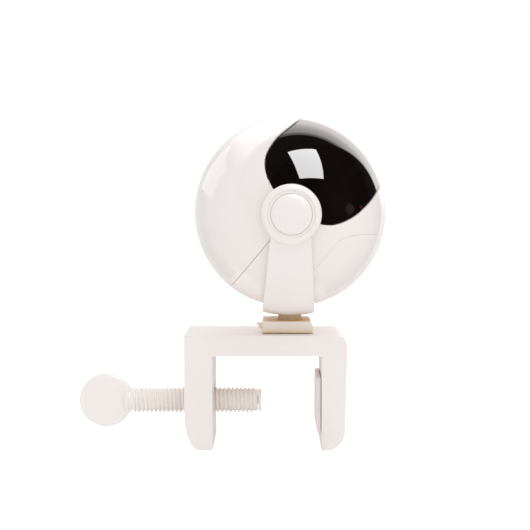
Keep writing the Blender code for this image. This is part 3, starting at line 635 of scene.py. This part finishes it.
def back_fittings():
    """The power button and the power inlet on the back of the head."""
    centre, push = HEAD_CENTRE, BUTTON_PUSH
    face, stem, flange = 44.9 * MM, 3.5 * MM, 4.5 * MM
    flange_top, flange_under = 42.2 * MM, 41.1 * MM
    profile = [(0, face - 0.25 * MM, 0), (1.6 * MM, face - 0.2 * MM, 1 * MM),
               (stem, face - 0.05 * MM, 0.35 * MM), (stem, flange_top, 0.1 * MM),
               (flange, flange_top, 0.2 * MM), (flange, flange_under, 0.2 * MM), (0, flange_under, 0)]
    mesh = lathe("button_cap", rounded(profile), facing(centre, -push), 64)
    add_piece("button_cap", mesh, "power_button", "power_button")
    profile = [(0, 35 * MM, 0), (2.8 * MM, 35 * MM, 0.1 * MM), (2.8 * MM, 42.6 * MM, 0.4 * MM),
               (4.5 * MM, 42.6 * MM, 0.3 * MM), (4.5 * MM, 31 * MM, 0.3 * MM), (0, 31 * MM, 0)]
    jack = lathe("inlet_barrel", rounded(profile), HEAD @ facing((0, 0, INLET_HEIGHT), (-1, 0, 0)), 64)
    pin = [(0, 34.5 * MM, 0), (0.8 * MM, 34.5 * MM, 0), (0.8 * MM, 41 * MM, 0.35 * MM), (0, 41 * MM, 0)]
    pin = lathe("inlet_pin", rounded(pin), HEAD @ facing((0, 0, INLET_HEIGHT), (-1, 0, 0)), 32)
    add_piece("inlet_barrel", combined("inlet_barrel", jack, [pin]), "head", "dc_inlet")


# ---------------------------------------------------------------- yoke

def strap_side(way):
    """One side edge of the strap on the yoke's outer ball, from hub to hub. way is -1 or 1 along X."""
    share = np.linspace(0, 1.1, 20001)
    level = 2 * MM - share * (YOKE_OUTER + 2 * MM)
    x = way * STRAP_TOP_HALF + share * (way * (STRAP_BOTTOM_HALF - STRAP_TOP_HALF) + STRAP_LEAN)
    depth = YOKE_OUTER ** 2 - x ** 2 - level ** 2
    x, level, depth = x[depth > 0], level[depth > 0], np.sqrt(depth[depth > 0])
    down = np.stack([x, -depth, level], axis=1)
    down = np.concatenate([down, [unit(down[-1] * (1, 0, 1)) * YOKE_OUTER]])
    return np.concatenate([down, down[::-1][1:] * (1, -1, 1)])


def yoke():
    right, left = strap_side(1), strap_side(-1)
    far = np.linspace(right[-1], left[-1], 50)
    near = np.linspace(left[0], right[0], 50)
    loop = np.concatenate([spaced(part, 0.9 * MM) for part in (right, far, left[::-1], near)])
    here = Matrix.Translation(HEAD_CENTRE)
    strap = ball_shell("strap", [loop], (0, 0, -1), YOKE_OUTER, YOKE_INNER, round_outer=0.7 * MM,
                       round_inner=0.5 * MM, matrix=here, spacing=1.8 * MM)

    def arc_depth(radius):
        return sqrt(YOKE_INNER ** 2 - radius ** 2)

    hubs = []
    for way in (-1, 1):
        bore, rim = TRUNNION_HOLE, HUB_RADIUS
        profile = [(bore, arc_depth(bore), 0.2 * MM), (bore, HUB_FLOOR, 0.2 * MM),
                   (HUB_RECESS, HUB_FLOOR, 0.2 * MM), (HUB_RECESS, HUB_LEDGE, 0.25 * MM),
                   (HUB_STEP, HUB_LEDGE, 0.2 * MM), (HUB_STEP, HUB_FACE, 0.3 * MM),
                   (rim, HUB_FACE, 2.4 * MM), (rim, arc_depth(rim), 0.4 * MM),
                   (10 * MM, arc_depth(10 * MM), 0), (7.5 * MM, arc_depth(7.5 * MM), 0)]
        hubs.append(lathe("hub", rounded(profile), facing(HEAD_CENTRE, (0, way, 0)), 128))
    bottom = YOKE_LOW.z + 0.02 * MM
    profile = [(0, bottom, 0), (NECK_RADIUS, bottom, 0.5 * MM), (NECK_RADIUS, NECK_TOP, 0),
               (0, NECK_TOP, 0)]
    neck = lathe("neck", rounded(profile), Matrix.Translation((PAN_AXIS.x, PAN_AXIS.y, 0)), 64)
    add_piece("yoke_skin", combined("yoke_skin", strap, hubs + [neck]), "yoke", "yoke_frame")


def hub_caps():
    dome = [(CAP_RADIUS * 0.93 * sin(a), CAP_RIM + (CAP_TOP - CAP_RIM) * cos(a), 0)
            for a in np.linspace(0, 0.42 * pi, 14)]
    skirt = [(CAP_RADIUS, CAP_RIM, 0.5 * MM), (CAP_RADIUS, CAP_SKIRT, 0.2 * MM)]
    hollow = [(CAP_RADIUS - 1 * MM, CAP_SKIRT, 0.1 * MM), (CAP_RADIUS - 1 * MM, CAP_RIM - 0.5 * MM, 0.2 * MM),
              (3.5 * MM, CAP_TOP - 1 * MM, 0), (0, CAP_TOP - 1 * MM, 0)]
    for way, label in ((-1, "near"), (1, "far")):
        mesh = lathe(f"cap_{label}", rounded(dome + skirt + hollow), facing(HEAD_CENTRE, (0, way, 0)), 128)
        add_piece(f"cap_{label}", mesh, "head", f"hub_cap_{label}")


# ---------------------------------------------------------------- clamp

def arc(centre, radii, start, end, steps):
    angles = [radians(start + (end - start) * i / steps) for i in range(steps + 1)]
    return [(centre[0] + radii[0] * cos(a), centre[1] + radii[1] * sin(a)) for a in angles]


def prism(name, outline, low, high):
    """An outline of (x, z) points, extruded along Y from low to high."""
    bm = bmesh.new()
    face = bm.faces.new([bm.verts.new((x, low, z)) for x, z in outline])
    made = bmesh.ops.extrude_face_region(bm, geom=[face])
    far = [part for part in made["geom"] if isinstance(part, bmesh.types.BMVert)]
    bmesh.ops.translate(bm, vec=(0, high - low, 0), verts=far)
    bmesh.ops.recalc_face_normals(bm, faces=bm.faces)
    mesh = bpy.data.meshes.new(name)
    bm.to_mesh(mesh)
    bm.free()
    return mesh


def bevelled(name, mesh, width_of, largest, segments=5):
    """The mesh with each edge rounded to width_of(its two ends)."""
    weights = mesh.attributes.new("bevel_weight_edge", "FLOAT", "EDGE")
    for edge in mesh.edges:
        a, b = (mesh.vertices[i].co for i in edge.vertices)
        weights.data[edge.index].value = min(1.0, width_of(a, b) / largest)
    made = evaluated(name, mesh, [("BEVEL", {"width": largest, "segments": segments, "limit_method": "WEIGHT",
                                             "use_clamp_overlap": True, "harden_normals": False})])
    made.shade_smooth()
    made.set_sharp_from_angle(angle=radians(35))
    return made


def clamp_body():
    left, right = CLAMP_LOW.x, CLAMP_HIGH.x
    top, bottom = CLAMP_HIGH.z, CLAMP_LOW.z
    jaw_left, jaw_right = left + SCREW_LEG, right - FIXED_LEG
    outline = [(left, top)]
    wide, high = SCREW_LEG_ROUND
    outline += arc((left + wide, bottom + high), (wide, high), 180, 270, 24)
    outline += [(jaw_left, bottom), (jaw_left, 0.0), (jaw_right, 0.0), (jaw_right, bottom)]
    wide, high = FIXED_LEG_ROUND
    outline += arc((right - wide - FIXED_LEG_DRAFT, bottom + high), (wide, high), 270, 360, 24)
    outline += arc((right - SHOULDER_ROUND, top - SHOULDER_ROUND), (SHOULDER_ROUND,) * 2, 0, 90, 16)
    mesh = prism("clamp_body", outline, CLAMP_LOW.y, CLAMP_HIGH.y)
    front, back = CLAMP_LOW.y, CLAMP_HIGH.y
    soft, small = 2.2 * MM, 0.35 * MM

    def width_of(a, b):
        middle = (a + b) / 2
        along = abs(a.y - b.y) > 1 * MM
        if along:
            corner = (abs(middle.x - left) < 0.1 * MM and middle.z > top - 1 * MM) or \
                     (abs(middle.z - bottom) < 0.1 * MM and abs(middle.x) < jaw_right + 0.1 * MM) or \
                     (abs(middle.z) < 0.1 * MM)
            return small if corner else 0.0
        if min(abs(middle.y - front), abs(middle.y - back)) > 0.1 * MM:
            return 0.0
        if middle.x > right - SHOULDER_ROUND - 2 * MM:
            rise = 1.0
            if middle.z > top - 3 * MM:
                rise = min(1.0, (middle.x - (right - SHOULDER_ROUND)) / SHOULDER_ROUND)
            return small + (soft - small) * max(0.0, rise)
        if middle.z < bottom + SCREW_LEG_ROUND[1] and middle.x < left + SCREW_LEG_ROUND[0]:
            return 1.6 * MM
        return small

    mesh = bevelled("clamp_body", mesh, width_of, soft, 6)
    mouth, past = 0.8 * MM, 1 * MM
    hole = [(0, -past), (HOLE_MOUTH, -past), (HOLE_MOUTH, 0), (TAPPED_HOLE, mouth),
            (TAPPED_HOLE, SCREW_LEG - mouth), (HOLE_MOUTH, SCREW_LEG), (HOLE_MOUTH, SCREW_LEG + past),
            (0, SCREW_LEG + past)]
    cutters = [lathe("tapped_hole", hole, facing((left, SCREW_AXIS.y, SCREW_AXIS.z), (1, 0, 0)), 96)]
    for number in (1, 2):
        low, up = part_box(f"base_screw_{number}")
        x, y = (low.x + up.x) / 2, (low.y + up.y) / 2
        recess = [(0, -1 * MM), (3.7 * MM, -1 * MM), (3.7 * MM, 0), (3.3 * MM, 0.4 * MM), (3.3 * MM, 3 * MM),
                  (1.6 * MM, 3 * MM), (1.6 * MM, 12 * MM), (0, 12 * MM)]
        cutters.append(lathe("recess", recess, Matrix.Translation((x, y, 0)), 48))
    mesh = combined("clamp_body", mesh, cutters, "DIFFERENCE", 35)
    add_piece("clamp_body", mesh, "clamp", "clamp_frame")


def pad():
    thick = PAD_HIGH.x - PAD_LOW.x
    back, front, top, bottom = PAD_HIGH.x, PAD_LOW.x, PAD_HIGH.z, PAD_LOW.z
    taper = (0.5 * thick, 1.8 * MM)
    outline = rounded([(back, top, 0), (back, bottom, 0), (front + taper[0], bottom, 0.5 * MM),
                       (front, bottom + taper[1], 1.5 * MM), (front, top, 0.5 * MM)], 8)
    mesh = prism("pad_skin", outline, PAD_LOW.y, PAD_HIGH.y)
    mesh = bevelled("pad_skin", mesh, lambda a, b: 0.5 * MM if abs(a.y - b.y) < 1 * MM and
                    max(a.x, b.x) < back - 0.1 * MM else 0.0, 0.5 * MM, 4)
    add_piece("pad_skin", mesh, "clamp", "clamp_pad")


def thread_depth(turn):
    """The thread's height over its root, 0 to 1, at a share of a turn: a rounded crest and a wider valley."""
    from_crest = abs((turn % 1.0) - 0.5)
    t = min(1.0, max(0.0, (0.36 - from_crest) / 0.24))
    return t * t * (3 - 2 * t)


def thumb_screw():
    """The rod: collar, run-in, rounded thread and plain end, in one skin, joined to the thumb disc."""
    start, end = ROD_LOW.x + 2 * DISC_RADIUS - 4.3 * MM, ROD_HIGH.x
    thread_start, thread_end = start + COLLAR_LENGTH, end - 0.6 * MM
    sides, slices = 64, 10
    step = THREAD_PITCH / slices

    def radius_at(x, turn):
        if x < thread_start:
            swell = min(1.0, (x - start) / (2.2 * MM))
            down = min(1.0, max(0.0, (thread_start - x) / (0.5 * MM)))
            neck = THREAD_ROOT + (COLLAR_RADIUS - THREAD_ROOT) * sqrt(down)
            return neck - 2.6 * MM * (1 - sqrt(1 - (1 - swell) ** 2))
        fade = min(1.0, (x - thread_start) / (1.5 * THREAD_PITCH),
                   max(0.0, (thread_end - x)) / (0.4 * THREAD_PITCH))
        return THREAD_ROOT + (THREAD_CREST - THREAD_ROOT) * thread_depth(turn) * max(0.0, fade)

    rows = ceil((end - start) / step) + slices + 2
    bm = bmesh.new()
    grid = []
    for row in range(rows):
        ring = []
        for i in range(sides):
            share = i / sides
            x = start + (row - slices + share * slices) * step
            x = min(max(x, start), end)
            radius = radius_at(x, x / THREAD_PITCH - share)
            angle = 2 * pi * share
            ring.append(bm.verts.new((x, SCREW_AXIS.y + radius * cos(angle),
                                      SCREW_AXIS.z + radius * sin(angle))))
        grid.append(ring)
    for row in range(rows - 1):
        for i in range(sides):
            if i < sides - 1:
                corners = (grid[row][i], grid[row][i + 1], grid[row + 1][i + 1], grid[row + 1][i])
            elif row + 1 + slices < rows:
                corners = (grid[row][i], grid[row + slices][0], grid[row + 1 + slices][0], grid[row + 1][i])
            else:
                continue
            bm.faces.new(corners)
    bmesh.ops.remove_doubles(bm, verts=bm.verts, dist=0.004 * MM)
    bmesh.ops.dissolve_degenerate(bm, dist=0.002 * MM, edges=bm.edges)
    bmesh.ops.holes_fill(bm, edges=[e for e in bm.edges if e.is_boundary], sides=0)
    bmesh.ops.recalc_face_normals(bm, faces=bm.faces)
    rod = bpy.data.meshes.new("rod")
    bm.to_mesh(rod)
    bm.free()
    half = DISC_THICKNESS / 2
    profile = [(0, half, 0), (DISC_RADIUS, half, 1.3 * MM), (DISC_RADIUS, -half, 1.3 * MM), (0, -half, 0)]
    centre = (ROD_LOW.x + DISC_RADIUS, SCREW_AXIS.y, SCREW_AXIS.z)
    disc = lathe("disc", rounded(profile, 8), facing(centre, (0, -1, 0)), 128)
    # Its last colour is painted shade: ambient occlusion tints it into the thread's valleys and beside the disc
    shaded = moulded("screw_cream", (0.90, 0.85, 0.825), (0.885, 0.83, 0.80), 0.36, 0.08,
                     (0.94, 0.85, 0.72), 2.5 * MM)
    mesh = combined("thumb_screw_skin", rod, [disc], sharp=50)
    add_piece("thumb_screw_skin", mesh, "clamp_screw", "clamp_screw", material=shaded)
    profile = [(0, FOOT_HIGH.x, 0), (FOOT_RADIUS, FOOT_HIGH.x, 0.35 * MM),
               (FOOT_RADIUS, FOOT_SHOULDER, 0.15 * MM), (FOOT_PIN, FOOT_SHOULDER, 0),
               (FOOT_PIN, FOOT_LOW.x, 0.3 * MM), (0, FOOT_LOW.x, 0)]
    foot = lathe("foot_skin", rounded(profile), facing((0, SCREW_AXIS.y, SCREW_AXIS.z), (1, 0, 0)), 96)
    add_piece("foot_skin", foot, "screw_foot", "screw_foot")


def base_block():
    """The swivel base with its stop tab, the bore that the neck turns in and the recess under it."""
    left = BASE_LOW.x + 3 * MM
    right, low, top = BASE_HIGH.x, BASE_LOW.z, BASE_HIGH.z
    edge = 1.2 * MM
    outline = [(left, low), (right, low), (right, top - 2 * edge), (right - edge, top), (left, top)]
    small = 0.35 * MM
    block = bevelled("block", prism("block", outline, BASE_LOW.y, BASE_HIGH.y), lambda a, b: small, small, 4)
    tab = [(left + 1 * MM, top - 3.6 * MM), (left + 1 * MM, top - 1 * MM), (left - 3 * MM, top - 1 * MM),
           (left - 0.6 * MM, top - 3.6 * MM)]
    tab = bevelled("tab", prism("tab", tab, BASE_LOW.y + 1.5 * MM, BASE_LOW.y + 6.5 * MM),
                   lambda a, b: small, small, 3)
    recess = [(0, low - 1 * MM), (8 * MM, low - 1 * MM), (8 * MM, 12.9 * MM), (5.85 * MM, 12.9 * MM),
              (5.85 * MM, top - 0.3 * MM), (6.15 * MM, top), (6.15 * MM, top + 1 * MM), (0, top + 1 * MM)]
    bore = lathe("bore", recess, Matrix.Translation((PAN_AXIS.x, PAN_AXIS.y, 0)), 64)
    mesh = combined("base_block", combined("base_block", block, [tab]), [bore], "DIFFERENCE", 35)
    # Its last colour is painted shade: a strong yellow tint that ambient occlusion within 7 mm puts under the yoke
    # and along the foot
    shaded = moulded("base_cream", (0.875, 0.81, 0.74), (0.86, 0.79, 0.72), 0.36, 0.08,
                     (0.80, 0.44, 0.05), 7 * MM)
    add_piece("base_block", mesh, "clamp", "swivel_base", material=shaded)


def cross_screws():
    """Pan-head screws with a cross recess, where a screw head shows."""
    def screw(name, node, body, under, way, length):
        head, height, shank = 2.8 * MM, 1.2 * MM, 1.2 * MM
        profile = [(0, height, 0), (head, height, 0.7 * MM), (head, 0, 0.1 * MM), (shank, 0, 0),
                   (shank, -length, 0.3 * MM), (0, -length, 0)]
        here = facing(under, way)
        mesh = lathe(name, rounded(profile), here, 48)
        slots = []
        for wide, deep in ((3.0 * MM, 0.6 * MM), (0.6 * MM, 3.0 * MM)):
            bm = bmesh.new()
            bmesh.ops.create_cube(bm, size=1.0)
            bmesh.ops.scale(bm, vec=(wide, deep, 1.2 * MM), verts=bm.verts)
            bm.transform(here @ Matrix.Translation((0, 0, height)))
            slot = bpy.data.meshes.new("slot")
            bm.to_mesh(slot)
            bm.free()
            slots.append(slot)
        add_piece(name, combined(name, mesh, slots, "DIFFERENCE"), body, node)

    for number in (1, 2):
        low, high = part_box(f"base_screw_{number}")
        under = ((low.x + high.x) / 2, (low.y + high.y) / 2, low.z + 1.2 * MM)
        screw(f"base_screw_skin_{number}", f"base_screw_{number}", "clamp", under, (0, 0, -1), 11.5 * MM)
    way = HEAD.to_3x3() @ COVER_SCREW_WAY
    screw("cover_screw_skin", "cover_screw", "head", HEAD_CENTRE + way * 42.9 * MM, way, 10 * MM)


def finish_inner_nodes():
    """Gives each CAD node its slot's material. Those that show are replaced by the finer pieces."""
    for name, node in frame["nodes"].items():
        node.data.materials.clear()
        node.data.materials.append(MATERIALS[SLOTS[name]])


# ---------------------------------------------------------------- studio

def studio():
    """A pale floor, three area lights and a world that differs for diffuse, mirrored and camera rays.
    Neither is one physical room: key_softbox lights surfaces only, and the other two lights only show in
    reflections. The world's patches are placed so that the ball's reflections look as they should."""
    bm = bmesh.new()
    bmesh.ops.create_circle(bm, cap_ends=True, radius=0.75, segments=96)
    mesh = bpy.data.meshes.new("floor")
    bm.to_mesh(mesh)
    bm.free()
    floor = bpy.data.objects.new("floor", mesh)
    floor.location.z = CLAMP_LOW.z - 0.05 * MM
    bpy.context.scene.collection.objects.link(floor)
    nodes = Nodes("pale_floor")
    cloud = nodes.noise(3.0)
    material = nodes.finish(nodes.blend(cloud, (0.92, 0.92, 0.92), (0.94, 0.94, 0.94)),
                            nodes.spread(cloud, 0.8, 0.9))
    nodes.shader.inputs["Emission Color"].default_value = (1.0, 1.0, 1.0, 1.0)
    glow = nodes.add("ShaderNodeMath")
    glow.operation = "MULTIPLY_ADD"
    nodes.link(nodes.tree.nodes.new("ShaderNodeLightPath").outputs["Is Camera Ray"], glow.inputs[0])
    glow.inputs[1].default_value, glow.inputs[2].default_value = 0.4, 0.12
    nodes.link(glow.outputs[0], nodes.shader.inputs["Emission Strength"])
    mesh.materials.append(material)
    floor.visible_glossy = False

    centre = Vector((HEAD_CENTRE.x, 0.0, HEAD_CENTRE.z))
    for name, way, away, size, roll, radiance, lights, mirrors in (
            ("key_softbox", (0.30, -0.42, 0.86), 0.85, (0.46, 0.62), -11, 0.8, True, False),
            ("key_glint", (0.30, -0.42, 0.86), 0.86, (0.44, 0.60), -11, 17.0, False, True),
            ("left_softbox", (-0.76, 0.55, 0.38), 0.9, (0.60, 0.40), 0, 0.95, False, True)):
        data = bpy.data.lights.new(name, "AREA")
        data.shape = "RECTANGLE"
        data.size, data.size_y = size
        data.energy = radiance * pi * size[0] * size[1]
        light = bpy.data.objects.new(name, data)
        light.location = centre + Vector(way).normalized() * away
        aim = (light.location - centre).to_track_quat("Z", "Y") @ Quaternion((0, 0, 1), radians(roll))
        light.rotation_euler = aim.to_euler()
        light.visible_diffuse, light.visible_glossy = lights, mirrors
        bpy.context.scene.collection.objects.link(light)

    world = bpy.data.worlds.new("studio")
    world.cycles.sampling_method = "NONE"
    bpy.context.scene.world = world
    world.use_nodes = True
    tree = world.node_tree
    tree.nodes.clear()
    coordinates = tree.nodes.new("ShaderNodeTexCoord").outputs["Generated"]

    def ramp(direction, start, end, low, high):
        """A number that runs from low to high as a way in the room turns toward a direction."""
        across = tree.nodes.new("ShaderNodeVectorMath")
        across.operation = "DOT_PRODUCT"
        tree.links.new(coordinates, across.inputs[0])
        across.inputs[1].default_value = direction
        made = tree.nodes.new("ShaderNodeMapRange")
        made.interpolation_type = "SMOOTHSTEP"
        for name, value in (("From Min", start), ("From Max", end), ("To Min", low), ("To Max", high)):
            made.inputs[name].default_value = value
        tree.links.new(across.outputs["Value"], made.inputs["Value"])
        return made.outputs["Result"]

    def joined(operation, first, second):
        node = tree.nodes.new("ShaderNodeMath")
        node.operation = operation
        tree.links.new(first, node.inputs[0])
        tree.links.new(second, node.inputs[1])
        return node.outputs[0]

    def background(colour, *edges, behind=None):
        """Light of one colour, dimmer beyond each edge, a (direction, from, to, dim). behind adds a last
        patch of light, a (direction, from, to, level)."""
        made = tree.nodes.new("ShaderNodeBackground")
        made.inputs["Color"].default_value = (*colour, 1.0)
        strength = None
        for edge in edges:
            level = ramp(*edge, 1.0)
            strength = joined("MULTIPLY", strength, level) if strength else level
        if behind:
            *where, level = behind
            strength = joined("ADD", strength, ramp(*where, 0.0, level))
        if strength:
            tree.links.new(strength, made.inputs["Strength"])
        return made

    # The room as it lights things, as it's mirrored in them, and as the camera sees it
    lighting = background((0.98, 0.985, 0.99), ((1, 0, 0), -1.0, 1.0, 0.95))
    far_low, far_left = (-0.362, 0.847, -0.389), (-0.779, 0.592, 0.207)
    near, right_high, above = (0.0, -1.0, 0.0), (0.67, 0.0, 0.742), (-0.17, 0.0, 0.98)
    mirrored = background((2.8, 2.62, 2.62), (far_low, -0.06, -0.01, 0.45), (far_low, -0.13, -0.09, 0.027),
                          (far_left, -0.03, 0.02, 0.012), (near, -1.0, -0.75, 0.2),
                          (right_high, -0.08, 0.35, 0.12), (above, -0.12, 0.08, 0.2),
                          behind=((0.0, 0.995, -0.1), 0.65, 0.98, 0.27))
    seen = background((1.0, 1.0, 1.0))
    path, output = tree.nodes.new("ShaderNodeLightPath"), tree.nodes.new("ShaderNodeOutputWorld")
    made = lighting
    for ray, other in (("Is Glossy Ray", mirrored), ("Is Camera Ray", seen)):
        mix = tree.nodes.new("ShaderNodeMixShader")
        tree.links.new(path.outputs[ray], mix.inputs[0])
        tree.links.new(made.outputs[0], mix.inputs[1])
        tree.links.new(other.outputs[0], mix.inputs[2])
        made = mix
    tree.links.new(made.outputs[0], output.inputs["Surface"])
    bpy.context.scene.view_settings.view_transform = "Standard"


def camera():
    """The photograph's viewpoint: in front, just above the head's centre, aimed slightly down and left."""
    data = bpy.data.cameras.new("camera")
    data.lens = 78.46
    data.clip_start, data.clip_end = 0.01, 20.0
    made = bpy.data.objects.new("camera", data)
    made.location = (3.29 * MM, -550 * MM, 75.78 * MM)
    made.rotation_euler = Vector((-0.00792, 1.0, -0.06293)).to_track_quat("-Z", "Y").to_euler()
    bpy.context.scene.collection.objects.link(made)
    bpy.context.scene.camera = made


camera()
finish_inner_nodes()
head_shells()
back_fittings()
yoke()
hub_caps()
clamp_body()
pad()
thumb_screw()
base_block()
cross_screws()
studio()
